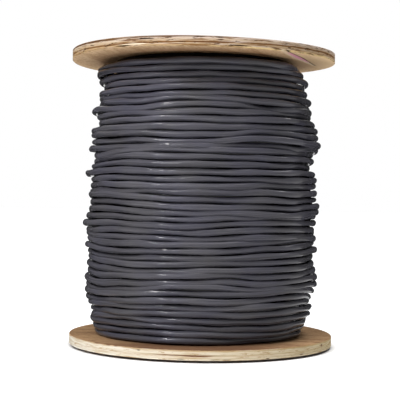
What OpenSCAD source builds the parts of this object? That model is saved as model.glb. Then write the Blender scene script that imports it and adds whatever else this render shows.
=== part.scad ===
// Reel of jacketed cable: two plywood flanges, a fibre drum, four tie bolts and the wound cable.
// Millimetres. The reel stands on its lower bolt heads at z = 0, with its axis along z.

/* [Flanges] */
// Outside diameter of both plywood flanges
flange_d = 305; // [285:1:330]
// Plywood thickness
flange_t = 11; // [9:0.5:14]
// Broken edge round both rims
rim_break = 0.6; // [0.2:0.1:1.5]
// Diameter of the arbor hole through both flanges
arbor_d = 32; // [20:1:45]
// Clear width between the flanges
traverse = 315; // [270:1:340]
// Depth of the routed groove that seats the drum
groove_depth = 3; // [2:0.5:4]

/* [Veneer split] */
// Angle round the axis where the split meets the rim
split_rim_angle = -57.5; // [-90:0.5:0]
// Direction the split runs in from the rim
split_run_angle = 71.6; // [60:0.2:100]
// Length of the split along the grain
split_len = 146; // [60:1:160]
// Greatest width of the split
split_w = 8; // [4:0.5:18]
// Part of its length at which the split is widest
split_widest = 0.45; // [0.3:0.05:0.8]
// Depth of the missing veneer
split_depth = 1.2; // [0.6:0.1:1.8]

/* [Drum] */
// Outside diameter of the fibre drum
drum_d = 152; // [142:1:160]
// Wall thickness of the drum
drum_wall = 5; // [3:0.5:7]
// Play between the drum wall and each side of its groove
groove_play = 0.2; // [0.1:0.05:0.5]

/* [Cable] */
// Outside diameter of the cable jacket
cable_d = 7; // [6:0.1:8.5]
// Clear space between neighbouring turns
turn_gap = 0.6; // [0.2:0.1:1]
// Radius over the winding at its fullest part
coil_r = 133.5; // [125:0.5:138]
// How far the winding falls away at the lower flange
coil_drop_low = 14; // [4:0.5:18]
// Part of the length over which it falls away at the lower flange
coil_low_part = 0.2; // [0.1:0.01:0.4]
// How far the winding falls away at the upper flange
coil_drop_top = 17.5; // [4:0.5:20]
// Part of the length over which it falls away at the upper flange
coil_top_part = 0.45; // [0.2:0.01:0.55]
// How far single turns stand in or out of the even winding
turn_wander = 1.3; // [0:0.1:1.6]
// How much deeper than the outer layer the last turn at the upper flange lies
last_turn_in = 6; // [0:0.5:8]
// Height of the valley floor between turns, above their centres
valley_rise = 1.6; // [1:0.1:2.2]
// Play between the winding and the drum
wind_play = 0.1; // [0.05:0.05:0.5]
// Play between the winding and each flange
end_play = 0.2; // [0.1:0.05:0.5]
// Space between the innermost turn and the winding's bore
bore_skin = 0.3; // [0.2:0.1:0.6]

/* [Tie bolts] */
// Clear space between each bolt shank and the drum's inside wall
bolt_gap = 12; // [9:0.5:16]
// Angle of the first bolt
bolt_angle = 45; // [0:1:89]
// Bolt shank diameter
bolt_d = 8; // [6:0.5:9]
// Play round the shank in its holes, on the diameter
bolt_play = 0.5; // [0.3:0.1:1]
// Diameter of the flat bolt head
head_d = 26; // [20:0.5:28]
// Height of the flat bolt head
head_t = 2.5; // [2:0.1:4]
// Broken edge of the bolt head
head_break = 0.5; // [0.2:0.1:0.8]
// Height of the square neck sunk in the lower flange
neck_h = 5; // [3:0.5:6.5]
// Play round the square neck, on its width
neck_play = 0.4; // [0.2:0.1:0.8]
// Length of bolt that stands proud of its nut
tail_len = 3; // [1:0.5:8]
// Chamfer at the bolt's end
tail_break = 0.8; // [0.4:0.1:1.2]

/* [Washers and nuts] */
// Washer outside diameter
washer_d = 25; // [18:0.5:28]
// Washer thickness
washer_t = 2; // [1:0.1:3]
// Nut width across its flats
nut_af = 13; // [12:0.5:16]
// Nut height
nut_h = 6.5; // [5:0.5:8]
// Angle of the chamfer that turns off the nut's corners
nut_chamfer = 30; // [15:1:40]
// Play between the nut's thread and the bolt, on the diameter
thread_play = 0.1; // [0.05:0.05:0.2]

/* [Hidden] */
flange_r = flange_d / 2;
arbor_r = arbor_d / 2;
drum_r = drum_d / 2;
cable_r = cable_d / 2;
bolt_r = bolt_d / 2;
head_r = head_d / 2;
bolt_hole_d = bolt_d + bolt_play;
bolt_circle_r = drum_r - drum_wall - bolt_gap - bolt_r;
bolts = 4;

low_z = head_t;
low_face_z = low_z + flange_t;
top_face_z = low_face_z + traverse;
top_z = top_face_z + flange_t;
nut_z = top_z + washer_t;
bolt_top_z = nut_z + nut_h + tail_len;

groove_in_r = drum_r - drum_wall - groove_play;
groove_out_r = drum_r + groove_play;
groove_z = flange_t - groove_depth;

bore_r = drum_r + wind_play;
wind_low_z = low_face_z + end_play;
wind_len = traverse - 2 * end_play;
turn_room = cable_d + turn_gap;
turns = floor(wind_len / turn_room);
pitch = (wind_len - cable_d) / (turns - 1);
first_ring_r = bore_r + cable_r + bore_skin;

nut_corner_d = nut_af / cos(30);

// How far cuts run past the faces they open
cut_over = 1;
// How far the split's outline runs past the rim
split_over = 3;
// Angle that sets how each turn stands in or out, so that no two neighbours match
wander_step = 137.5;

$fn = 96;

// Fall of the winding at each end, for a place s from 0 at the lower flange to 1 at the upper one
function fall_low(s) = coil_drop_low * pow(max(0, 1 - s / coil_low_part), 2);
function fall_top(s) = coil_drop_top * pow(max(0, 1 - (1 - s) / coil_top_part), 2);

// Centre radius and height of turn i of the outer layer
function turn_s(i) = (i + 0.5) / turns;
function turn_fall(i) = fall_low(turn_s(i)) + fall_top(turn_s(i)) + (i == turns - 1 ? last_turn_in : 0);
function turn_r(i) = coil_r - cable_r - turn_fall(i) + turn_wander * sin(wander_step * i);
function turn_z(i) = wind_low_z + cable_r + i * pitch;

// Number and spacing of the turns that show on an end whose outermost turn has centre radius r
function ring_steps(r) = round((r - first_ring_r) / turn_room);
function ring_r(k, r) = first_ring_r + k * (r - first_ring_r) / ring_steps(r);

module on_bolt(i) {
    rotate([0, 0, bolt_angle + (i - 1) * 360 / bolts])
        translate([bolt_circle_r, 0, 0])
            children();
}

// Half section of a flange that lies on z = 0 with its drum groove upwards
module flange_section() {
    polygon([
        [arbor_r, 0],
        [flange_r - rim_break, 0],
        [flange_r, rim_break],
        [flange_r, flange_t - rim_break],
        [flange_r - rim_break, flange_t],
        [groove_out_r, flange_t],
        [groove_out_r, groove_z],
        [groove_in_r, groove_z],
        [groove_in_r, flange_t],
        [arbor_r, flange_t]
    ]);
}

module bolt_holes() {
    for (i = [1:bolts])
        on_bolt(i)
            translate([0, 0, -cut_over])
                cylinder(d = bolt_hole_d, h = flange_t + 2 * cut_over);
}

// Square sockets that keep the bolts from turning
module neck_sockets() {
    side = bolt_d + neck_play;
    for (i = [1:bolts])
        on_bolt(i)
            translate([-side / 2, -side / 2, -cut_over])
                cube([side, side, neck_h + cut_over + neck_play]);
}

// Wedge of missing face veneer, from the rim along the grain
module veneer_split() {
    rotate([0, 0, split_rim_angle])
        translate([flange_r + split_over, 0, -cut_over])
            rotate([0, 0, split_run_angle - split_rim_angle])
                linear_extrude(height = split_depth + cut_over)
                    polygon([
                        [0, -split_w / 4],
                        [split_len * split_widest, -split_w / 2],
                        [split_len, 0],
                        [split_len * split_widest, split_w / 2],
                        [0, split_w / 4]
                    ]);
}

module bottom_flange() {
    color("#c9b48f")
        translate([0, 0, low_z])
            difference() {
                rotate_extrude()
                    flange_section();
                bolt_holes();
                neck_sockets();
            }
}

module top_flange() {
    color("#b79a72")
        translate([0, 0, top_face_z])
            difference() {
                translate([0, 0, flange_t])
                    mirror([0, 0, 1])
                        rotate_extrude()
                            flange_section();
                bolt_holes();
                veneer_split();
            }
}

module drum() {
    color("#8a6a48")
        translate([0, 0, low_face_z - groove_depth])
            rotate_extrude()
                translate([drum_r - drum_wall, 0])
                    square([drum_wall, traverse + 2 * groove_depth]);
}

// Half section of the wound cable: one circle per turn on the outside and on both ends
module winding_section() {
    last = turns - 1;
    low_r = turn_r(0);
    top_r = turn_r(last);
    for (i = [0:last])
        translate([turn_r(i), turn_z(i)])
            circle(r = cable_r);
    for (k = [0:ring_steps(low_r) - 1])
        translate([ring_r(k, low_r), turn_z(0)])
            circle(r = cable_r);
    for (k = [0:ring_steps(top_r) - 1])
        translate([ring_r(k, top_r), turn_z(last)])
            circle(r = cable_r);
    polygon(concat(
        [[bore_r, turn_z(0) - valley_rise], [low_r, turn_z(0) - valley_rise]],
        [for (i = [0:last]) [turn_r(i) + valley_rise, turn_z(i)]],
        [[top_r, turn_z(last) + valley_rise], [bore_r, turn_z(last) + valley_rise]]
    ));
}

module cable_winding() {
    color("#55555a")
        rotate_extrude()
            winding_section();
}

// Flat-headed bolt with a square neck, standing on its head
module tie_bolt(i) {
    color("#a7a9a8")
        on_bolt(i) {
            rotate_extrude()
                polygon([
                    [0, 0],
                    [head_r - head_break, 0],
                    [head_r, head_break],
                    [head_r, head_t],
                    [bolt_r, head_t],
                    [bolt_r, bolt_top_z - tail_break],
                    [bolt_r - tail_break, bolt_top_z],
                    [0, bolt_top_z]
                ]);
            translate([-bolt_r, -bolt_r, head_t])
                cube([bolt_d, bolt_d, neck_h]);
        }
}

module washer(i) {
    color("#b4b6b5")
        on_bolt(i)
            translate([0, 0, top_z])
                difference() {
                    cylinder(d = washer_d, h = washer_t);
                    translate([0, 0, -cut_over])
                        cylinder(d = bolt_hole_d, h = washer_t + 2 * cut_over);
                }
}

// Hexagon nut with its corners turned off at both faces
module nut(i) {
    past_r = nut_corner_d / 2 + cut_over;
    rise = (past_r - nut_af / 2) * tan(nut_chamfer);
    color("#adafae")
        on_bolt(i)
            translate([0, 0, nut_z])
                difference() {
                    intersection() {
                        cylinder(d = nut_corner_d, h = nut_h, $fn = 6);
                        rotate_extrude()
                            polygon([
                                [0, 0],
                                [nut_af / 2, 0],
                                [past_r, rise],
                                [past_r, nut_h - rise],
                                [nut_af / 2, nut_h],
                                [0, nut_h]
                            ]);
                    }
                    translate([0, 0, -cut_over])
                        cylinder(d = bolt_d + thread_play, h = nut_h + 2 * cut_over);
                }
}

bottom_flange();
top_flange();
drum();
cable_winding();
tie_bolt(1);  // tie_bolt_1
tie_bolt(2);  // tie_bolt_2
tie_bolt(3);  // tie_bolt_3
tie_bolt(4);  // tie_bolt_4
washer(1);  // washer_1
washer(2);  // washer_2
washer(3);  // washer_3
washer(4);  // washer_4
nut(1);  // nut_1
nut(2);  // nut_2
nut(3);  // nut_3
nut(4);  // nut_4
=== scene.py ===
import math

import bpy
import numpy as np
from mathutils import Matrix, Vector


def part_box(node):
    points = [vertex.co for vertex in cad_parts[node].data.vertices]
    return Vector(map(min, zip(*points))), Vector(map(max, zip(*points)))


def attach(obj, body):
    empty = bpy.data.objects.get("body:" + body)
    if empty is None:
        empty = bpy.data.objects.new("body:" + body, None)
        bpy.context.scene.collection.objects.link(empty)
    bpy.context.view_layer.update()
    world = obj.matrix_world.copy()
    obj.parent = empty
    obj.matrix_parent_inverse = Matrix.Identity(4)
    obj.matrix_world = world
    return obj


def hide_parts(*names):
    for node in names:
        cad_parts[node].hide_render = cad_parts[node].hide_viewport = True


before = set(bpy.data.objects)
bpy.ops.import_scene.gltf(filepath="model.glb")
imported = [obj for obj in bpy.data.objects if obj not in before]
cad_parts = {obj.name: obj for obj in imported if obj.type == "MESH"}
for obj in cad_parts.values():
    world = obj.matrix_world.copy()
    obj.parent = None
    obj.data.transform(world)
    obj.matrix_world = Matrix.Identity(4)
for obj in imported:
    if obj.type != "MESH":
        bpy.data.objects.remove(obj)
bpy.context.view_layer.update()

# Sizes in metres, read off the CAD solids where they set a fit
MM = 0.001
low_lo, low_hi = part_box("bottom_flange")
top_lo, top_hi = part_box("top_flange")
FLANGE_R = low_hi.x
ARBOR_R = 0.016
PLY_T = low_hi.z - low_lo.z
WIND_LOW = low_hi.z
WIND_TOP = top_lo.z
WIND_LEN = WIND_TOP - WIND_LOW
DRUM_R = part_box("drum")[1].x
CABLE_D = 0.0070
HALF_CABLE = CABLE_D / 2
# The jacket's section in the winding: half its depth and height, and its exponent, 2 for an ellipse
HALF_DEEP = 0.0034
HALF_TALL = 0.0035
SQUARE = 2.0
# Twisted cores under the jacket: height of their ridges in radii, and the length of a full twist
LOBES = 0.065
LAY = 0.125

# Outline of the winding: largest radius, and how far it draws in at each end over which part of its length
COIL_R = 0.1335
DROP_LOW, LOW_PART = 0.014, 0.20
DROP_TOP, TOP_PART = 0.0175, 0.45
# The winding stands off the reel's axis by SHIFT, and from LEAN_FROM of its length up by as much as LEAN more
SHIFT, LEAN = -0.0002, 0.0016
LEAN_FROM, LEAN_OVER = 0.45, 0.40

SEED = 31
rng = np.random.default_rng(SEED)


def link(obj):
    bpy.context.scene.collection.objects.link(obj)
    return obj


def make_mesh(name, verts, quads, material, attrs=None, tris=None):
    """Mesh object from arrays of points and faces, smooth shaded, with optional point attributes."""
    mesh = bpy.data.meshes.new(name)
    faces = [tuple(q) for q in np.asarray(quads).tolist()]
    if tris is not None:
        faces += [tuple(t) for t in np.asarray(tris).tolist()]
    mesh.from_pydata(np.asarray(verts).tolist(), [], faces)
    mesh.polygons.foreach_set("use_smooth", [True] * len(mesh.polygons))
    for key, values in (attrs or {}).items():
        values = np.asarray(values, np.float32)
        if values.ndim == 1:
            mesh.attributes.new(key, "FLOAT", "POINT").data.foreach_set("value", values)
        else:
            mesh.attributes.new(key, "FLOAT_VECTOR", "POINT").data.foreach_set("vector", values.ravel())
    mesh.materials.append(material)
    mesh.update()
    return link(bpy.data.objects.new(name, mesh))


def ring_quads(steps, n):
    """Faces of a closed ring made of steps copies of a closed section with n points."""
    i, j = np.meshgrid(np.arange(steps), np.arange(n), indexing="ij")
    i2, j2 = (i + 1) % steps, (j + 1) % n
    return np.stack([i * n + j, i2 * n + j, i2 * n + j2, i * n + j2], 2).reshape(-1, 4)


def add_piece(obj, slot, *nodes):
    """Makes an object a piece of the reel that stands for CAD nodes, and hides these nodes. The slot is not
    used.
    """
    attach(obj, "root")
    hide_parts(*nodes)


class Shader:
    """Shorthand for building a material's node tree."""

    def __init__(self, name):
        self.material = bpy.data.materials.new(name)
        self.material.use_nodes = True
        self.tree = self.material.node_tree
        self.bsdf = self.tree.nodes["Principled BSDF"]

    def put(self, socket, value):
        if isinstance(value, bpy.types.NodeSocket):
            self.tree.links.new(value, socket)
        else:
            socket.default_value = value

    def node(self, kind, inputs=(), **props):
        n = self.tree.nodes.new(kind)
        for key, value in props.items():
            setattr(n, key, value)
        for key, value in dict(inputs).items():
            self.put(n.inputs[key], value)
        return n

    def coords(self):
        return self.node("ShaderNodeTexCoord").outputs["Object"]

    def attr(self, name):
        return self.node("ShaderNodeAttribute", attribute_name=name)

    def scaled(self, vector, scale, shift=(0, 0, 0)):
        n = self.node("ShaderNodeMapping", {"Vector": vector, "Scale": scale, "Location": shift})
        return n.outputs[0]

    def noise(self, vector, scale, detail=3.0, rough=0.55):
        """Noise around 0.5. The scale is one number, or one for each axis of the vector."""
        if isinstance(scale, tuple):
            vector = self.scaled(vector, scale)
            scale = 1.0
        inputs = {"Vector": vector, "Scale": scale, "Detail": detail, "Roughness": rough}
        return self.node("ShaderNodeTexNoise", inputs).outputs["Fac"]

    def math(self, op, a, b):
        return self.node("ShaderNodeMath", {0: a, 1: b}, operation=op).outputs[0]

    def distance(self, a, b):
        n = self.node("ShaderNodeVectorMath", {0: a, 1: b}, operation="DISTANCE")
        return n.outputs["Value"]

    def span(self, value, lo, hi, out_lo=0.0, out_hi=1.0):
        n = self.node("ShaderNodeMapRange", {0: value, 1: lo, 2: hi, 3: out_lo, 4: out_hi}, clamp=True)
        return n.outputs[0]

    def mix(self, fac, a, b, blend="MIX"):
        """Mix of two colours, which are sockets 6 and 7 of the node."""
        n = self.node("ShaderNodeMix", data_type="RGBA", blend_type=blend)
        self.put(n.inputs[0], fac)
        self.put(n.inputs[6], a)
        self.put(n.inputs[7], b)
        return n.outputs[2]

    def ramp(self, fac, stops):
        n = self.node("ShaderNodeValToRGB", {0: fac})
        ramp = n.color_ramp
        while len(ramp.elements) < len(stops):
            ramp.elements.new(0.5)
        for element, (place, colour) in zip(ramp.elements, stops):
            element.position = place
            element.color = colour
        return n.outputs[0]

    def bump(self, height, strength, distance):
        n = self.node("ShaderNodeBump", {"Height": height, "Strength": strength, "Distance": distance})
        self.put(self.bsdf.inputs["Normal"], n.outputs[0])

    def set(self, **values):
        for key, value in values.items():
            self.put(self.bsdf.inputs[key.replace("_", " ")], value)
        return self.material


def rgb(r, g, b):
    """Linear colour from display values of 0 to 255."""
    def lin(c):
        c /= 255.0
        return c / 12.92 if c <= 0.04045 else ((c + 0.055) / 1.055) ** 2.4
    return (lin(r), lin(g), lin(b), 1.0)


# Materials

def cable_material(name, painted_shade_factor=1.0):
    """Grey jacket with streaks along the cable, faint changes of tint and an uneven gloss. A factor below 1
    darkens the whole colour as painted shade on hidden layers.
    """
    s = Shader(name)
    along = s.attr("lay").outputs["Vector"]
    streak = s.noise(along, (7.0, 520.0, 60.0), 3.0, 0.6)
    patch = s.noise(s.coords(), 16.0, 3.0, 0.6)
    shades = ((57, 56, 61), (72, 71, 77), (87, 86, 93))
    grey = [tuple(c * painted_shade_factor for c in rgb(*shade)[:3]) + (1.0,) for shade in shades]
    base = s.ramp(streak, list(zip((0.32, 0.50, 0.70), grey)))
    tint = s.ramp(patch, [(0.35, (0.95, 0.95, 1.06, 1)), (0.65, (1.04, 1.03, 0.97, 1))])
    colour = s.mix(1.0, base, tint, "MULTIPLY")
    rough = s.span(s.noise(along, (40.0, 300.0, 20.0), 2.0), 0.3, 0.7, 0.10, 0.16)
    s.bump(s.noise(along, (25.0, 700.0, 20.0), 2.0), 0.15, 0.0006)
    return s.set(Base_Color=colour, Roughness=rough, Specular_IOR_Level=0.17)


def wood_face(s, place, pale, mid, dark, angle):
    """Face veneer: its colour, with broad figure and pores along one direction, and its fine grain."""
    turned = s.node("ShaderNodeMapping", {"Vector": place, "Rotation": (0, 0, angle)}).outputs[0]
    figure = s.noise(turned, (5.0, 60.0, 5.0), 4.0, 0.6)
    fine = s.noise(turned, (30.0, 700.0, 30.0), 3.0, 0.65)
    speck = s.noise(turned, (140.0, 420.0, 220.0), 2.0, 0.6)
    base = s.ramp(figure, [(0.25, dark), (0.48, mid), (0.72, pale)])
    base = s.mix(s.span(fine, 0.42, 0.70, 0.0, 0.40), base, dark)
    base = s.mix(s.span(speck, 0.52, 0.66, 0.0, 0.60), base, dark)
    base = s.mix(s.span(speck, 0.46, 0.34, 0.0, 0.60), base, pale)
    return base, fine


# Tone of the outer faces against the inner ones, and the colours of the spots on these: painted shade near
# the winding and painted light on one wing
OUTER_TONE = (0.60, 0.58, 0.57, 1)
LOWER_PAINTED_SHADE = rgb(94, 64, 48)
BROWN_PAINTED_SHADE = rgb(104, 58, 26)
PAINTED_LIGHT_WOOD = rgb(246, 214, 170)
# Colours of the marks on the plywood, in the order in which they are laid over each other. The darkest is
# painted shade in shallow chips and a painted shadow along the split
MARK_COLOURS = {
    "stain": rgb(112, 78, 56),
    "void_shade": rgb(48, 32, 22),
    "pale": rgb(240, 228, 202),
    "pink": rgb(214, 148, 168),
}
# How far the plies wave up and down on the rim
PLY_WAVE = 0.0022


def plywood_material(name, z_mid, inner, face_cols, edge_cols, wear_cols, angle, painted_light_tints, painted_light_patches):
    """Plywood: face veneer on the flats, plies and glue lines on the rim, with marks from point attributes.

    The rim's colour is scaled from left to right, which paints light and shade across it. The inner face, on
    the side of z_mid that inner names, has spots of another colour, each with its place, the distances where
    it is full and gone, its strength and its colour: painted shade near the winding and painted light on a
    wing."""
    s = Shader(name)
    place = s.coords()
    axes = s.node("ShaderNodeSeparateXYZ", {0: place}).outputs
    plain_face, fine = wood_face(s, place, *face_cols, angle)
    face = plain_face
    # These spots are painted shade near the winding and painted light on a wing
    for centre, near, far, most, painted_light_col in painted_light_patches:
        face = s.mix(s.span(s.distance(place, centre), near, far, most, 0.0), face, painted_light_col)
    outer_face = s.mix(1.0, plain_face, OUTER_TONE, "MULTIPLY")
    face = s.mix(s.math(inner, axes[2], z_mid), outer_face, face)
    wave = s.math("SUBTRACT", s.noise(place, (30.0, 30.0, 6.0)), 0.5)
    height = s.math("ADD", axes[2], s.math("MULTIPLY", wave, PLY_WAVE))
    plies = s.ramp(s.span(height, z_mid - PLY_T / 2, z_mid + PLY_T / 2), edge_cols)
    streaks = s.noise(place, (42.0, 42.0, 800.0), 4.0, 0.6)
    clear = s.noise(s.scaled(place, (30.0, 30.0, 620.0), (0.4, 0.1, 0.2)), 1.0, 3.0, 0.6)
    pores = s.noise(place, (85.0, 85.0, 560.0), 4.0, 0.65)
    streak_col, pore_col, clear_col = wear_cols
    edge = s.mix(s.span(streaks, 0.52, 0.60, 0.0, 0.90), plies, streak_col)
    edge = s.mix(s.span(clear, 0.54, 0.66, 0.0, 0.60), edge, clear_col)
    edge = s.mix(s.span(pores, 0.57, 0.62, 0.0, 0.90), edge, pore_col)
    # The left-to-right scaling of the rim colour is painted light and shade
    across = s.span(axes[0], -FLANGE_R, FLANGE_R)
    edge = s.mix(1.0, edge, s.ramp(across, list(zip((0.0, 0.5, 1.0), painted_light_tints))), "MULTIPLY")
    colour = s.mix(s.attr("rim").outputs["Fac"], face, edge)
    for mark, mark_col in MARK_COLOURS.items():
        colour = s.mix(s.attr(mark).outputs["Fac"], colour, mark_col)
    s.bump(fine, 0.25, 0.0006)
    return s.set(Base_Color=colour, Roughness=0.85, Specular_IOR_Level=0.08)


def fibre_material():
    """Wound fibreboard with rings and a rough surface."""
    s = Shader("drum_fibre")
    place = s.coords()
    rings = s.noise(place, (30.0, 30.0, 260.0), 4.0, 0.6)
    fluff = s.noise(place, 420.0, 3.0, 0.6)
    colour = s.ramp(rings, [(0.3, rgb(112, 84, 58)), (0.5, rgb(140, 108, 76)), (0.72, rgb(160, 128, 92))])
    colour = s.mix(s.span(fluff, 0.4, 0.7, 0.0, 0.35), colour, rgb(98, 72, 50))
    s.bump(fluff, 0.3, 0.0006)
    return s.set(Base_Color=colour, Roughness=0.85)


def zinc_material():
    """Zinc plating, cloudy and spotted."""
    s = Shader("zinc_steel")
    place = s.coords()
    spangle = s.noise(place, 330.0, 3.0, 0.6)
    cloud = s.noise(place, 60.0, 3.0, 0.6)
    greys = (rgb(150, 150, 148), rgb(186, 187, 186), rgb(202, 203, 200))
    colour = s.ramp(cloud, list(zip((0.35, 0.55, 0.75), greys)))
    colour = s.mix(s.span(spangle, 0.55, 0.75, 0.0, 0.4), colour, rgb(128, 126, 118))
    rough = s.span(spangle, 0.3, 0.7, 0.28, 0.5)
    s.bump(spangle, 0.12, 0.0004)
    return s.set(Base_Color=colour, Roughness=rough, Metallic=1.0)


# Cable winding

def coil_radius(z):
    """Radius over the winding at height z."""
    s = np.clip((z - WIND_LOW) / WIND_LEN, 0, 1)
    low = DROP_LOW * np.maximum(0, 1 - s / LOW_PART) ** 2
    top = DROP_TOP * np.maximum(0, 1 - (1 - s) / TOP_PART) ** 2
    return COIL_R - low - top


def s_curve(x):
    """Smooth rise from 0 to 1."""
    x = np.clip(x, 0, 1)
    return x * x * (3 - 2 * x)


def smooth(values, width):
    """Gaussian smoothing along a path, with its ends held level."""
    reach = int(3 * width)
    kernel = np.exp(-0.5 * (np.arange(-reach, reach + 1) / width) ** 2)
    padded = np.pad(values, reach, mode="edge")
    return np.convolve(padded, kernel / kernel.sum(), mode="valid")


def wander(count, width):
    """Smooth random values along a path with a spread of 1."""
    raw = smooth(rng.standard_normal(count), width)
    return raw / raw.std()


# Drift that neighbouring turns share: its waves round the reel, and the most that their phase turns with
# height, in radians a metre
DRIFT_WAVES = (1, 2, 3, 5)
DRIFT_CLIMB = 50


def shared_drift(theta, z, amount):
    """Drift that neighbouring turns share, varying slowly with height."""
    total = np.zeros_like(theta)
    for m in DRIFT_WAVES:
        phase = rng.uniform(0, 2 * math.pi)
        climb = rng.uniform(-1, 1) * DRIFT_CLIMB
        total += np.sin(m * theta + phase + climb * z) / math.sqrt(m)
    return amount * total / len(DRIFT_WAVES)


# Rise from one turn to the next, in turn heights: at the least, and at the most before the two draw together
LEAST_RISE, MOST_RISE = 0.36, 1.12
# Share of a wrong rise that each turn of a pair mends in one round, where too close and where too wide, and
# how many steps the move is spread over
PUSH, DRAW, SPREAD = 0.5, 0.1, 2.5
SETTLE_ROUNDS = 60


def settle(z, tall, turns, steps, z_low, z_high):
    """Keeps each turn above the one below it, partly over or under it, and closes wide gaps between them."""
    tall = tall.reshape(turns, steps)
    room = tall[1:] + tall[:-1]
    for _ in range(SETTLE_ROUNDS):
        z2 = z.reshape(turns, steps)
        rise = (z2[1:] - z2[:-1]) / room
        push = room * (PUSH * np.maximum(0, LEAST_RISE - rise) - DRAW * np.maximum(0, rise - MOST_RISE))
        move = np.zeros_like(z2)
        move[1:] += push
        move[:-1] -= push
        z = np.clip(z + smooth(move.ravel(), SPREAD), z_low, z_high)
    return z


# Offset of the jacket's streaks from one turn to the next, and the angle past which an edge is sharp
STREAK_SHIFT = 0.37
JACKET_SHARP = math.radians(60)


def tube(name, points, theta, tall, cuts, sides, material):
    """Flattened tubes along a path round the axis, cut at the given steps, ridged where the cores twist."""
    tangent = np.gradient(points, axis=0)
    tangent /= np.linalg.norm(tangent, axis=1)[:, None]
    out = np.stack([np.cos(theta), np.sin(theta), np.zeros_like(theta)], 1)
    out -= tangent * (out * tangent).sum(1)[:, None]
    out /= np.linalg.norm(out, axis=1)[:, None]
    side = np.cross(tangent, out)
    length = np.concatenate([[0], np.cumsum(np.linalg.norm(np.diff(points, axis=0), axis=1))])
    phi = 2 * math.pi * np.arange(sides) / sides
    flat = (np.abs(np.cos(phi)) / HALF_DEEP)[None, :] ** SQUARE
    flat = flat + (np.abs(np.sin(phi))[None, :] / tall[:, None]) ** SQUARE
    radius = flat ** (-1 / SQUARE)
    radius = radius * (1 + LOBES * np.cos(2 * (phi[None, :] - 2 * math.pi * length[:, None] / LAY)))
    ring = np.cos(phi)[None, :, None] * out[:, None, :] + np.sin(phi)[None, :, None] * side[:, None, :]
    skin = points[:, None, :] + radius[:, :, None] * ring
    lay = np.zeros((len(points), sides, 3))
    lay[:, :, 0] = length[:, None]
    lay[:, :, 1] = phi[None, :] * HALF_CABLE
    lay[:, :, 2] = (theta[:, None] // (2 * math.pi)) * STREAK_SHIFT
    for part, (a, b) in enumerate(zip(cuts[:-1], cuts[1:])):
        b = min(b + 1, len(points))
        n = b - a
        verts = np.vstack([skin[a:b].reshape(-1, 3), points[a:a + 1], points[b - 1:b]])
        here = np.vstack([lay[a:b].reshape(-1, 3), lay[a, :1], lay[b - 1, :1]])
        i, k = np.arange(n - 1)[:, None] * sides, np.arange(sides)[None, :]
        one, two = (i + k).ravel(), (i + (k + 1) % sides).ravel()
        quads = np.stack([one, two, two + sides, one + sides], 1)
        k, first, last = np.arange(sides), n * sides, (n - 1) * sides
        tris = np.vstack([
            np.stack([np.full(sides, first), (k + 1) % sides, k], 1),
            np.stack([np.full(sides, first + 1), last + k, last + (k + 1) % sides], 1),
        ])
        obj = make_mesh(f"{name}_{part + 1}", verts, quads, material, {"lay": here}, tris)
        obj.data.set_sharp_from_angle(angle=JACKET_SHARP)
        add_piece(obj, "cable_jacket", "cable_winding")


# Places where turns stand out or lie deep: height over the floor and reach in millimetres, angle and reach in
# degrees, and the offset in millimetres
BULGES = [
    (314, 8, 182, 34, 9.5), (290, 13, 180, 34, -3.0), (272, 4, 180, 24, 5.0), (255, 4, 180, 16, -4.0),
    (215, 7, 180, 22, -4.0), (199, 6, 180, 22, 2.5), (190, 3, 180, 14, -2.5), (157, 4, 180, 16, -4.0),
    (143, 4, 180, 18, 3.5), (90, 6, 180, 18, -3.0), (74, 6, 180, 22, 2.5), (41, 4, 180, 16, -4.0),
    (29, 6, 180, 26, 4.0),
    (314, 6, 0, 24, -4.0), (305, 4, 0, 16, 3.0), (294, 6, 0, 18, -2.5), (236, 12, 0, 26, 3.0),
    (211, 7, 0, 22, -5.5), (190, 8, 0, 18, -2.5), (162, 4, 0, 16, 3.0), (137, 5, 0, 16, 2.5),
    (111, 4, 0, 16, 3.0), (96, 6, 0, 18, -3.0), (78, 8, 0, 22, 2.0), (60, 6, 0, 16, -3.0),
    (120, 5, 250, 20, 2.0), (230, 5, 290, 20, -3.0), (160, 6, 90, 26, 3.0), (250, 5, 60, 20, -3.5),
    (110, 5, 120, 18, -3.5), (210, 5, 140, 20, 3.0), (60, 6, 45, 20, 2.5),
    (319, 4, 270, 60, 1.0), (305, 8, 285, 48, -8.0), (262, 6, 300, 26, -4.0), (281, 5, 250, 30, -4.0),
]


def bulge_at(theta, z):
    """How far the winding stands out at an angle and height."""
    total = np.zeros_like(z)
    for height, tall, angle, wide, offset in BULGES:
        away = np.degrees((theta - math.radians(angle) + math.pi) % (2 * math.pi) - math.pi)
        total += offset * np.exp(-0.5 * (away / wide) ** 2 - 0.5 * ((z / MM - height) / tall) ** 2)
    return total * MM


# Part of each turn, behind the reel, in which it steps up to the next
STEP_PART = 0.2
# Height at both ends of a layer over which its drift eases in, and the least share of a turn's own wander
# that stays there
EASE_LEN = 0.030
LEAST_OWN = 0.3
# A turn's own wander: the weights of its waves, and how many of their widths make a turn
OWN_WAVES = ((0.6, 8), (1.0, 22), (0.25, 55))
# How much the jacket's height varies, and in how many parts of a turn
TALL_VARIES, TALL_PARTS = 0.05, 40
# In how many parts of a turn it comes forward or falls back, and by how many times the spread at the most
PROUD_PARTS, PROUD_MOST = 28, 1.6
# Part of a turn in which each end of the cable tucks under
TUCK_PART = 0.12


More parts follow.
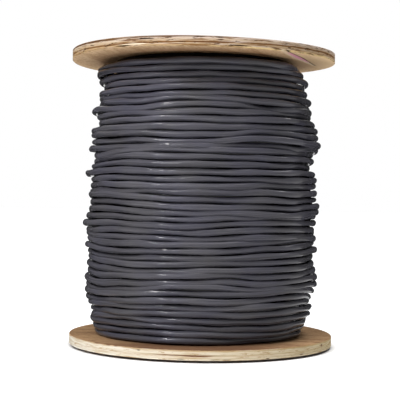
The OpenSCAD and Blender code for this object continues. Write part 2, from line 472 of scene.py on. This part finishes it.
def layer(turns, steps, climbs, depth, drift, own, radial, z_low, z_high):
    """Path of one layer of the winding, whose turns lie level and step to the next behind.

    Its turns drift together, each wanders by own, and in and out by radial. Returns the angle, the points and
    half the jacket's height at each step."""
    count = turns * steps
    t = np.arange(count) / steps
    theta = math.pi / 2 + STEP_PART * math.pi + 2 * math.pi * t
    step = s_curve((t % 1 - (1 - STEP_PART)) / STEP_PART)
    way = np.minimum((np.floor(t) + step) / (turns - 1), 1)
    z = z_low + (way if climbs else 1 - way) * (z_high - z_low)
    ease = np.clip(np.minimum(z - z_low, z_high - z) / EASE_LEN, 0, 1)
    z = z + ease * shared_drift(theta, z, drift)
    waves = sum(weight * wander(count, steps / parts) for weight, parts in OWN_WAVES)
    z = np.clip(z + np.clip(ease, LEAST_OWN, 1) * own * waves, z_low, z_high)
    tall = HALF_TALL * (1 + TALL_VARIES * wander(count, steps / TALL_PARTS))
    z = settle(z, tall, turns, steps, z_low, z_high)
    proud = radial * PROUD_MOST * np.tanh(wander(count, steps / PROUD_PARTS) / PROUD_MOST)
    tuck = s_curve(1 - np.minimum(t, t[-1] - t) / TUCK_PART)
    r = coil_radius(z) - HALF_DEEP - depth + bulge_at(theta, z) + proud - CABLE_D * tuck
    high = (z - WIND_LOW) / WIND_LEN
    lean = SHIFT + LEAN * np.clip((high - LEAN_FROM) / LEAN_OVER, 0, 1)
    points = np.stack([r * np.cos(theta) + lean, r * np.sin(theta), z], 1)
    return theta, points, tall


jacket = cable_material("cable_jacket")
# The hidden layers wear the jacket at 0.12 of its colour: painted shade that makes the gaps between turns
# read black
jacket_painted_shade = cable_material("cable_jacket_painted_shade", painted_shade_factor=0.12)

# The outer layer, made in two parts, stops short of the upper flange, where the layer under it shows
TURNS, STEPS, SIDES = 44, 240, 16
OUTER_DEPTH = 0.0010
LOW_GAP, TOP_GAP = 0.0004, 0.0062
theta, points, tall = layer(
    TURNS, STEPS, climbs=True, depth=OUTER_DEPTH, drift=0.0030, own=0.0027, radial=0.0023,
    z_low=WIND_LOW + HALF_CABLE + LOW_GAP, z_high=WIND_TOP - HALF_CABLE - TOP_GAP)
tube("cable_outer", points, theta, tall, (0, TURNS // 2 * STEPS + 1, TURNS * STEPS), SIDES, jacket)

# The layer under it runs the other way and lies deeper by a part of the cable's diameter. Its darkened jacket
# is painted shade
UNDER_TURNS, UNDER_STEPS, UNDER_SIDES = 40, 160, 10
UNDER_PART = 0.72
theta, points, tall = layer(
    UNDER_TURNS, UNDER_STEPS, climbs=False, depth=OUTER_DEPTH + CABLE_D * UNDER_PART, drift=0.0030,
    own=0.0012, radial=0.0006, z_low=WIND_LOW + HALF_CABLE, z_high=WIND_TOP - HALF_CABLE)
tube("cable_under", points, theta, tall, (0, UNDER_TURNS * UNDER_STEPS), UNDER_SIDES, jacket_painted_shade)

# The inner layers are one turned body: its depth, its gaps at the flanges and drum, how high the turns stand
# on its side and ends, its rows up the side, rings on an end and steps round, and the radius at which its
# streaks are laid
CORE_DEPTH = 2.1 * CABLE_D
CORE_GAP, DRUM_GAP = 0.0012, 0.0002
SIDE_RIDGE, END_RIDGE = 0.0010, 0.0009
CORE_ROWS, CORE_RINGS, CORE_STEPS = 165, 30, 120
CORE_LAY_R = 0.12


def ridges(place):
    """Height of round turns that lie beside each other, from 0 to 1."""
    return np.abs(np.sin(math.pi * place / CABLE_D))


def core_profile():
    """Closed half section of the inner layers as (radius, height) points."""
    z = np.linspace(WIND_LOW + CORE_GAP, WIND_TOP - CORE_GAP, CORE_ROWS)
    side = np.stack([coil_radius(z) - CORE_DEPTH + SIDE_RIDGE * ridges(z - WIND_LOW), z], 1)
    r_in = DRUM_R + DRUM_GAP
    r = np.linspace(side[-1, 0], r_in, CORE_RINGS)
    top = np.stack([r, WIND_TOP - CORE_GAP + END_RIDGE * ridges(r - r_in)], 1)[1:]
    r = np.linspace(r_in, side[0, 0], CORE_RINGS)
    low = np.stack([r, WIND_LOW + CORE_GAP - END_RIDGE * ridges(r - r_in)], 1)[:-1]
    return np.vstack([side, top, low])


def core():
    """The inner layers, turned about the axis, in the darkened jacket: painted shade."""
    profile = core_profile()
    angle = 2 * math.pi * np.arange(CORE_STEPS) / CORE_STEPS
    verts = np.stack([
        np.outer(np.cos(angle), profile[:, 0]),
        np.outer(np.sin(angle), profile[:, 0]),
        np.tile(profile[:, 1], (CORE_STEPS, 1)),
    ], 2).reshape(-1, 3)
    round_axis = np.arctan2(verts[:, 1], verts[:, 0]) * CORE_LAY_R
    lay = np.stack([round_axis, verts[:, 2], np.zeros(len(verts))], 1)
    quads = ring_quads(CORE_STEPS, len(profile))
    obj = make_mesh("cable_core", verts, quads, jacket_painted_shade, {"lay": lay})
    add_piece(obj, "cable_jacket", "cable_winding")


core()


# Plywood flanges

# Meshes of the flanges: steps round, rings on a plain face and on the split one, rows on the rim and in the
# hole, the broken edge, and the angle past which an edge is sharp
FLANGE_STEPS = 600
PLAIN_RINGS, SPLIT_RINGS = 30, 80
RIM_ROWS, HOLE_ROWS = 27, 4
EDGE_BREAK = 0.0005
PLY_SHARP = math.radians(35)
# Bands at the rim that a mark colours and that it cuts into
MARK_BAND, CHIP_BAND = 0.004, 0.002
# A mark ends where the square of the distance from its middle, in its half sizes, is this
MARK_END = 1.3

# The split in the face veneer: where it starts, just past the rim, the way it runs, its length and width, the
# part of its length where it is widest, its depth, the width of its sloping sides and how far it goes on past
# its start
SPLIT_X, SPLIT_Y = 0.0845, -0.1305
SPLIT_RUN = math.radians(71.6)
SPLIT_LEN, SPLIT_WIDE, SPLIT_WIDEST = 0.146, 0.008, 0.45
SPLIT_DEPTH, SPLIT_SLOPE, SPLIT_LEAD = 0.0012, 0.0012, 0.010
# Only what lies lower than this in the plywood is split
SPLIT_BELOW = 0.002
# Its colours: where the pink begins and ends and how it fades along it, how far it keeps from the sides, the
# width of the dark and pale lines at these, and the strength of the pale one. The dark line is a painted
# shadow
PINK_FROM, PINK_TO, PINK_FADE = 0.10, 0.86, 0.12
PINK_INSET = 0.0003
LINE_WIDE = 0.0016
PALE_LINE = 0.4


def flange_rows(under_rings):
    """Closed half section of a flange: rows of radius, height and 1 where the plies show."""
    rim_r = FLANGE_R - EDGE_BREAK
    rows = [(r, 0.0, 0.0) for r in np.linspace(ARBOR_R, rim_r, under_rings)]
    rows += [(FLANGE_R, h, 1.0) for h in np.linspace(EDGE_BREAK, PLY_T - EDGE_BREAK, RIM_ROWS)]
    rows += [(r, PLY_T, 0.0) for r in np.linspace(rim_r, ARBOR_R, PLAIN_RINGS)]
    rows += [(ARBOR_R, h, 1.0) for h in np.linspace(PLY_T, 0.0, HOLE_ROWS + 2)[1:-1]]
    return np.array(rows)


def open_split(radius, around, height, masks):
    """Adds the split's colours to the masks of a flange, its dark line a painted shadow, and returns its
    heights with the split sunk in.
    """
    x = radius * np.cos(around) - SPLIT_X
    y = radius * np.sin(around) - SPLIT_Y
    along = x * math.cos(SPLIT_RUN) + y * math.sin(SPLIT_RUN)
    across = y * math.cos(SPLIT_RUN) - x * math.sin(SPLIT_RUN)
    part = np.clip(along / SPLIT_LEN, 0, 1)
    opening, closing = 0.5 + 0.5 * part / SPLIT_WIDEST, (1 - part) / (1 - SPLIT_WIDEST)
    half_wide = SPLIT_WIDE / 2 * np.where(part < SPLIT_WIDEST, opening, closing)
    edge = half_wide - np.abs(across)
    inside = (along > -SPLIT_LEAD) & (along < SPLIT_LEN) & (height < SPLIT_BELOW)
    from_ends = np.clip(np.minimum(part - PINK_FROM, PINK_TO - part) / PINK_FADE, 0, 1)
    pink = np.clip((edge - PINK_INSET) / SPLIT_SLOPE, 0, 1) * inside * from_ends
    line = np.exp(-(edge / LINE_WIDE) ** 2) * inside
    masks["pink"] = np.maximum(masks["pink"], pink)
    # The dark line along one side of the split is a painted shadow
    masks["void_shade"] = np.maximum(masks["void_shade"], line * (across < 0))
    masks["pale"] = np.maximum(masks["pale"], PALE_LINE * line * (across > 0))
    return height + SPLIT_DEPTH * np.clip(edge / SPLIT_SLOPE, 0, 1) * inside


def flange(name, node, slot, z_low, material, warp, marks, split):
    """Plywood disc with an arbor hole: a fine mesh with chips, hollows painted dark as shade, and stains as
    marks say, and a split.
    """
    rows = flange_rows(SPLIT_RINGS if split else PLAIN_RINGS)
    radius, height, rim = (np.tile(column, (FLANGE_STEPS, 1)) for column in rows.T)
    from_front = 2 * math.pi * np.arange(FLANGE_STEPS) / FLANGE_STEPS
    around = np.tile(from_front[:, None] - math.pi / 2, (1, len(rows)))
    degrees = np.degrees((from_front + math.pi) % (2 * math.pi) - math.pi)[:, None]
    masks = {mark: np.zeros_like(radius) for mark in MARK_COLOURS}
    on_rim = radius > FLANGE_R - MARK_BAND
    for kind, angle, high, half_wide, half_tall, deep in marks:
        off_wide = (degrees - angle) / half_wide
        off_tall = (height - high * MM) / (half_tall * MM)
        shape = np.clip(MARK_END - (off_wide ** 2 + off_tall ** 2), 0, 1) * on_rim
        masks[kind] = np.maximum(masks[kind], shape)
        radius = radius - deep * MM * shape * (radius > FLANGE_R - CHIP_BAND)
    if split:
        height = open_split(radius, around, height, masks)
    z = z_low + height + warp * (radius / FLANGE_R) ** 2 * np.cos(around) * np.sin(around)
    verts = np.stack([radius * np.cos(around), radius * np.sin(around), z], 2).reshape(-1, 3)
    attrs = {"rim": rim.ravel(), **{mark: mask.ravel() for mark, mask in masks.items()}}
    obj = make_mesh(name, verts, ring_quads(FLANGE_STEPS, len(rows)), material, attrs)
    obj.data.set_sharp_from_angle(angle=PLY_SHARP)
    add_piece(obj, slot, node)


# Colours of the plies on the rims, from the lower face up
LOW_EDGE = [
    (0.00, rgb(246, 238, 220)), (0.12, rgb(252, 246, 230)), (0.18, rgb(222, 206, 178)),
    (0.24, rgb(234, 224, 202)), (0.44, rgb(230, 218, 194)), (0.50, rgb(204, 182, 148)),
    (0.57, rgb(232, 221, 198)), (0.78, rgb(240, 231, 210)), (0.86, rgb(218, 200, 168)),
    (0.95, rgb(196, 166, 126)),
]
# The pale yellow first stops, at the lower arris of the upper rim, are a painted highlight
TOP_EDGE = [
    (0.00, rgb(232, 204, 150)), (0.09, rgb(220, 192, 148)), (0.17, rgb(180, 150, 116)),
    (0.33, rgb(194, 168, 134)), (0.40, rgb(112, 74, 40)), (0.47, rgb(122, 84, 48)),
    (0.55, rgb(192, 166, 136)), (0.76, rgb(206, 186, 166)), (0.86, rgb(216, 198, 184)),
    (0.93, rgb(96, 68, 46)),
]
ply_low = plywood_material(
    "plywood_lower", (low_lo.z + low_hi.z) / 2, "GREATER_THAN",
    face_cols=(rgb(184, 152, 116), rgb(158, 126, 92), rgb(108, 78, 56)),
    edge_cols=LOW_EDGE,
    wear_cols=(rgb(214, 194, 160), rgb(200, 172, 136), rgb(250, 244, 230)),
    angle=0.15,
    # Rim scaling: painted light on the left, painted shade on the right
    painted_light_tints=((0.86, 0.885, 0.95, 1), (0.82, 0.78, 0.74, 1), (0.77, 0.71, 0.56, 1)),
    # A dark spot at the front of the face near the winding: painted shade
    painted_light_patches=[((-0.005, -0.145, low_hi.z), 0.06, 0.14, 0.76, LOWER_PAINTED_SHADE)])
ply_top = plywood_material(
    "plywood_upper", (top_lo.z + top_hi.z) / 2, "LESS_THAN",
    face_cols=(rgb(236, 206, 168), rgb(224, 190, 150), rgb(180, 142, 102)),
    edge_cols=TOP_EDGE,
    wear_cols=(rgb(126, 90, 52), rgb(70, 46, 30), rgb(228, 214, 202)),
    angle=-1.25,
    # Rim scaling: painted shade on the left, painted light on the right
    painted_light_tints=((0.72, 0.69, 0.60, 1), (0.84, 0.82, 0.80, 1), (1.04, 1.02, 1.00, 1)),
    painted_light_patches=[
        # A pale spot on the right wing of the underside: painted light
        ((0.16, -0.04, top_lo.z), 0.05, 0.11, 0.80, PAINTED_LIGHT_WOOD),
        # Brown spots at the front and in a ring round the winding: painted shade under the flange
        ((0.0, -0.125, top_lo.z), 0.02, 0.11, 0.25, BROWN_PAINTED_SHADE),
        ((0.0, 0.0, top_lo.z), 0.121, 0.150, 0.55, BROWN_PAINTED_SHADE),
    ])

# Marks on the rims: kind, degrees from the front, height in the plywood, half the length in degrees, half the
# height and the depth, lengths in millimetres
# The darkest marks are shallow chips coloured with painted shade
LOW_MARKS = [
    ("void_shade", -25.0, 8.6, 0.7, 0.6, 0.6),
    ("stain", -5.5, 5.4, 15.0, 0.6, 0.2),
    ("stain", -1.0, 4.6, 6.0, 0.5, 0.2),
    ("void_shade", -7.5, 1.4, 1.6, 0.3, 0.5),
    ("void_shade", 6.0, 1.3, 1.8, 0.3, 0.5),
    ("void_shade", 10.5, 1.2, 1.6, 0.3, 0.5),
    ("stain", 62.0, 7.5, 1.0, 1.6, 0.3),
    ("stain", 46.0, 2.0, 1.2, 0.7, 0.5),
    ("void_shade", 28.0, 1.0, 0.8, 0.5, 0.5),
    ("stain", -40.0, 10.6, 1.4, 0.6, 0.4),
    ("stain", -47.0, 10.6, 1.8, 0.5, 0.4),
    ("stain", -36.0, 10.6, 1.0, 0.6, 0.4),
]
TOP_MARKS = [
    ("void_shade", -23.5, 7.9, 4.0, 0.7, 0.9),
    ("stain", -31.0, 7.0, 6.0, 0.6, 0.5),
    ("void_shade", -34.0, 1.6, 4.0, 0.5, 0.8),
    ("void_shade", 6.0, 9.8, 1.8, 0.6, 0.8),
    ("void_shade", 14.0, 2.2, 4.0, 0.6, 0.9),
    ("stain", 3.0, 4.2, 9.0, 0.4, 0.4),
    ("stain", -14.0, 10.7, 12.0, 0.4, 0.5),
    ("pale", -29.0, 2.8, 7.0, 0.5, 0.0),
    ("void_shade", 46.0, 6.0, 0.6, 0.5, 0.8),
]
# How far the upper flange is twisted out of flat
TOP_WARP = 0.00233
flange("flange_lower", "bottom_flange", "plywood_lower", low_lo.z, ply_low, 0.0, LOW_MARKS, split=False)
flange("flange_upper", "top_flange", "plywood_upper", top_lo.z, ply_top, TOP_WARP, TOP_MARKS, split=True)

# Finishes of the CAD solids that stay
fibre, zinc = fibre_material(), zinc_material()
for name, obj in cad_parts.items():
    if name.startswith(("tie_bolt", "washer", "nut")):
        finish = zinc
    elif name == "drum":
        finish = fibre
    else:
        continue
    obj.data.materials.clear()
    obj.data.materials.append(finish)


# Camera at the photograph's place, in flange radii where it was fitted
FOCAL_PX, FRAME_PX = 1113.2, 400
SENSOR_MM = 36.0
CAM_BACK = 8.5505 * FLANGE_R
CAM_HIGH = low_lo.z + 1.1154 * FLANGE_R
YAW, PITCH, ROLL = -0.0017, 0.0029, 0.0137
SEES_TO = 50.0

right = np.array([math.cos(YAW), -math.sin(YAW), 0])
ahead = np.array([math.sin(YAW), math.cos(YAW), 0])
up = np.array([0, 0, 1.0])
depth = ahead * math.cos(PITCH) - up * math.sin(PITCH)
rise = ahead * math.sin(PITCH) + up * math.cos(PITCH)
cam_x = math.cos(ROLL) * right + math.sin(ROLL) * rise
cam_y = -math.sin(ROLL) * right + math.cos(ROLL) * rise
camera_data = bpy.data.cameras.new("camera")
camera_data.sensor_width = SENSOR_MM
camera_data.lens = FOCAL_PX / FRAME_PX * SENSOR_MM
camera_data.clip_end = SEES_TO
camera = link(bpy.data.objects.new("camera", camera_data))
camera.matrix_world = Matrix((
    (cam_x[0], cam_y[0], -depth[0], 0.0),
    (cam_x[1], cam_y[1], -depth[1], -CAM_BACK),
    (cam_x[2], cam_y[2], -depth[2], CAM_HIGH),
    (0, 0, 0, 1),
))
bpy.context.scene.camera = camera


# Lights and floor

# Point that the lamps face
MIDDLE = (0, 0, 0.17)


def area_light(name, place, size, power, lean=0.0):
    """Lamp of a width and height at a place, facing the middle of the reel, leaning by some degrees."""
    data = bpy.data.lights.new(name, "AREA")
    data.shape = "RECTANGLE"
    data.size, data.size_y = size
    data.energy = power
    lamp = link(bpy.data.objects.new(name, data))
    away = np.array(place, float) - np.array(MIDDLE, float)
    away /= np.linalg.norm(away)
    level = np.cross((0, 0, 1.0), away)
    level /= np.linalg.norm(level)
    above = np.cross(away, level)
    cos, sin = math.cos(math.radians(lean)), math.sin(math.radians(lean))
    x = level * cos + above * sin
    y = above * cos - level * sin
    lamp.matrix_world = Matrix((
        (x[0], y[0], away[0], place[0]),
        (x[1], y[1], away[1], place[1]),
        (x[2], y[2], away[2], place[2]),
        (0, 0, 0, 1),
    ))


area_light("key_left", place=(-0.744, -0.855, 1.018), size=(0.040, 0.99), power=18.8, lean=33)
area_light("fill_right", place=(0.22, -1.45, 0.58), size=(0.025, 0.6), power=0.8, lean=30)
area_light("front_soft", place=(-0.8, -1.75, 1.85), size=(1.0, 1.0), power=8.6)
area_light("top_soft", place=(0.15, -0.35, 2.0), size=(1.4, 1.4), power=20.0)
area_light("side_right", place=(0.5, 0.45, 1.1), size=(0.5, 0.5), power=5.5)


def seen_directly(tree):
    """1 for camera, mirror and see-through rays, so the white background also shows in metal."""
    path = tree.nodes.new("ShaderNodeLightPath")
    total = path.outputs["Is Camera Ray"]
    for key in ("Is Glossy Ray", "Is Transmission Ray"):
        most = tree.nodes.new("ShaderNodeMath")
        most.operation = "MAXIMUM"
        tree.links.new(total, most.inputs[0])
        tree.links.new(path.outputs[key], most.inputs[1])
        total = most.outputs[0]
    return total


# Strength of the world as a light, and where it is seen
WORLD_LIGHT, WORLD_WHITE = 0.12, 1.0
WHITE = (1, 1, 1, 1)
world = bpy.data.worlds.new("studio")
bpy.context.scene.world = world
world.use_nodes = True
wt = world.node_tree
background = wt.nodes["Background"]
background.inputs[0].default_value = WHITE
strength = wt.nodes.new("ShaderNodeMapRange")
strength.inputs[3].default_value = WORLD_LIGHT
strength.inputs[4].default_value = WORLD_WHITE
wt.links.new(seen_directly(wt), strength.inputs[0])
wt.links.new(strength.outputs[0], background.inputs[1])

# The floor is pale, and where it is seen a white glow is added: the distances from the axis over which this
# comes in, near the reel and far from it, and its strengths
FLOOR_HALF = 12.0
NEAR_FROM, NEAR_TO, NEAR_WHITE = 0.151, 0.162, 0.62
FAR_FROM, FAR_TO, FAR_WHITE = 0.30, 1.2, 0.38
floor_shader = Shader("floor_pale")
floor_shader.set(Base_Color=(0.76, 0.76, 0.76, 1), Roughness=0.9)
away = floor_shader.distance(floor_shader.coords(), (0, 0, 0))
near_white = floor_shader.span(away, NEAR_FROM, NEAR_TO, 0.0, NEAR_WHITE)
far_white = floor_shader.span(away, FAR_FROM, FAR_TO, 0.0, FAR_WHITE)
white = floor_shader.math("ADD", near_white, far_white)
seen_white = floor_shader.math("MULTIPLY", seen_directly(floor_shader.tree), white)
glow = floor_shader.node("ShaderNodeEmission", {"Color": WHITE, "Strength": seen_white})
both = floor_shader.node("ShaderNodeAddShader", {0: floor_shader.bsdf.outputs[0], 1: glow.outputs[0]})
floor_shader.put(floor_shader.tree.nodes["Material Output"].inputs[0], both.outputs[0])
floor_corners = [
    (-FLOOR_HALF, -FLOOR_HALF, 0), (FLOOR_HALF, -FLOOR_HALF, 0),
    (FLOOR_HALF, FLOOR_HALF, 0), (-FLOOR_HALF, FLOOR_HALF, 0),
]
floor = make_mesh("floor", floor_corners, [(0, 1, 2, 3)], floor_shader.material)

# Dark cards at both sides, on the floor there and behind keep the edges of the winding from mirroring the
# white surround. Only reflections show them. Their floor and back parts end at a part of CARD_X from the
# middle. The left card begins CARD_NEAR before the axis, the right one as far behind it
CARD_X, CARD_FAR = 0.56, 1.3
CARD_LOW, CARD_HIGH = 0.002, 0.7
FOOT_PART, BACK_PART = 0.30, 0.24
CARD_NEAR = 0.15
card_shader = Shader("card_dark")
card_shader.set(Base_Color=(0.02, 0.02, 0.02, 1), Roughness=0.9)
for name, x, near in (("card_left", -CARD_X, -CARD_NEAR), ("card_right", CARD_X, CARD_NEAR)):
    foot, back = FOOT_PART * x, BACK_PART * x
    corners = [
        (x, near, CARD_HIGH), (x, CARD_FAR, CARD_HIGH), (x, CARD_FAR, CARD_LOW), (x, near, CARD_LOW),
        (foot, CARD_FAR, CARD_LOW), (foot, near, CARD_LOW),
        (back, CARD_FAR, CARD_HIGH), (back, CARD_FAR, CARD_LOW),
    ]
    card = make_mesh(name, corners, [(0, 1, 2, 3), (3, 2, 4, 5), (1, 6, 7, 2)], card_shader.material)
    card.visible_camera = False
    card.visible_diffuse = False
    card.visible_shadow = False

bpy.context.scene.view_settings.view_transform = "Standard"
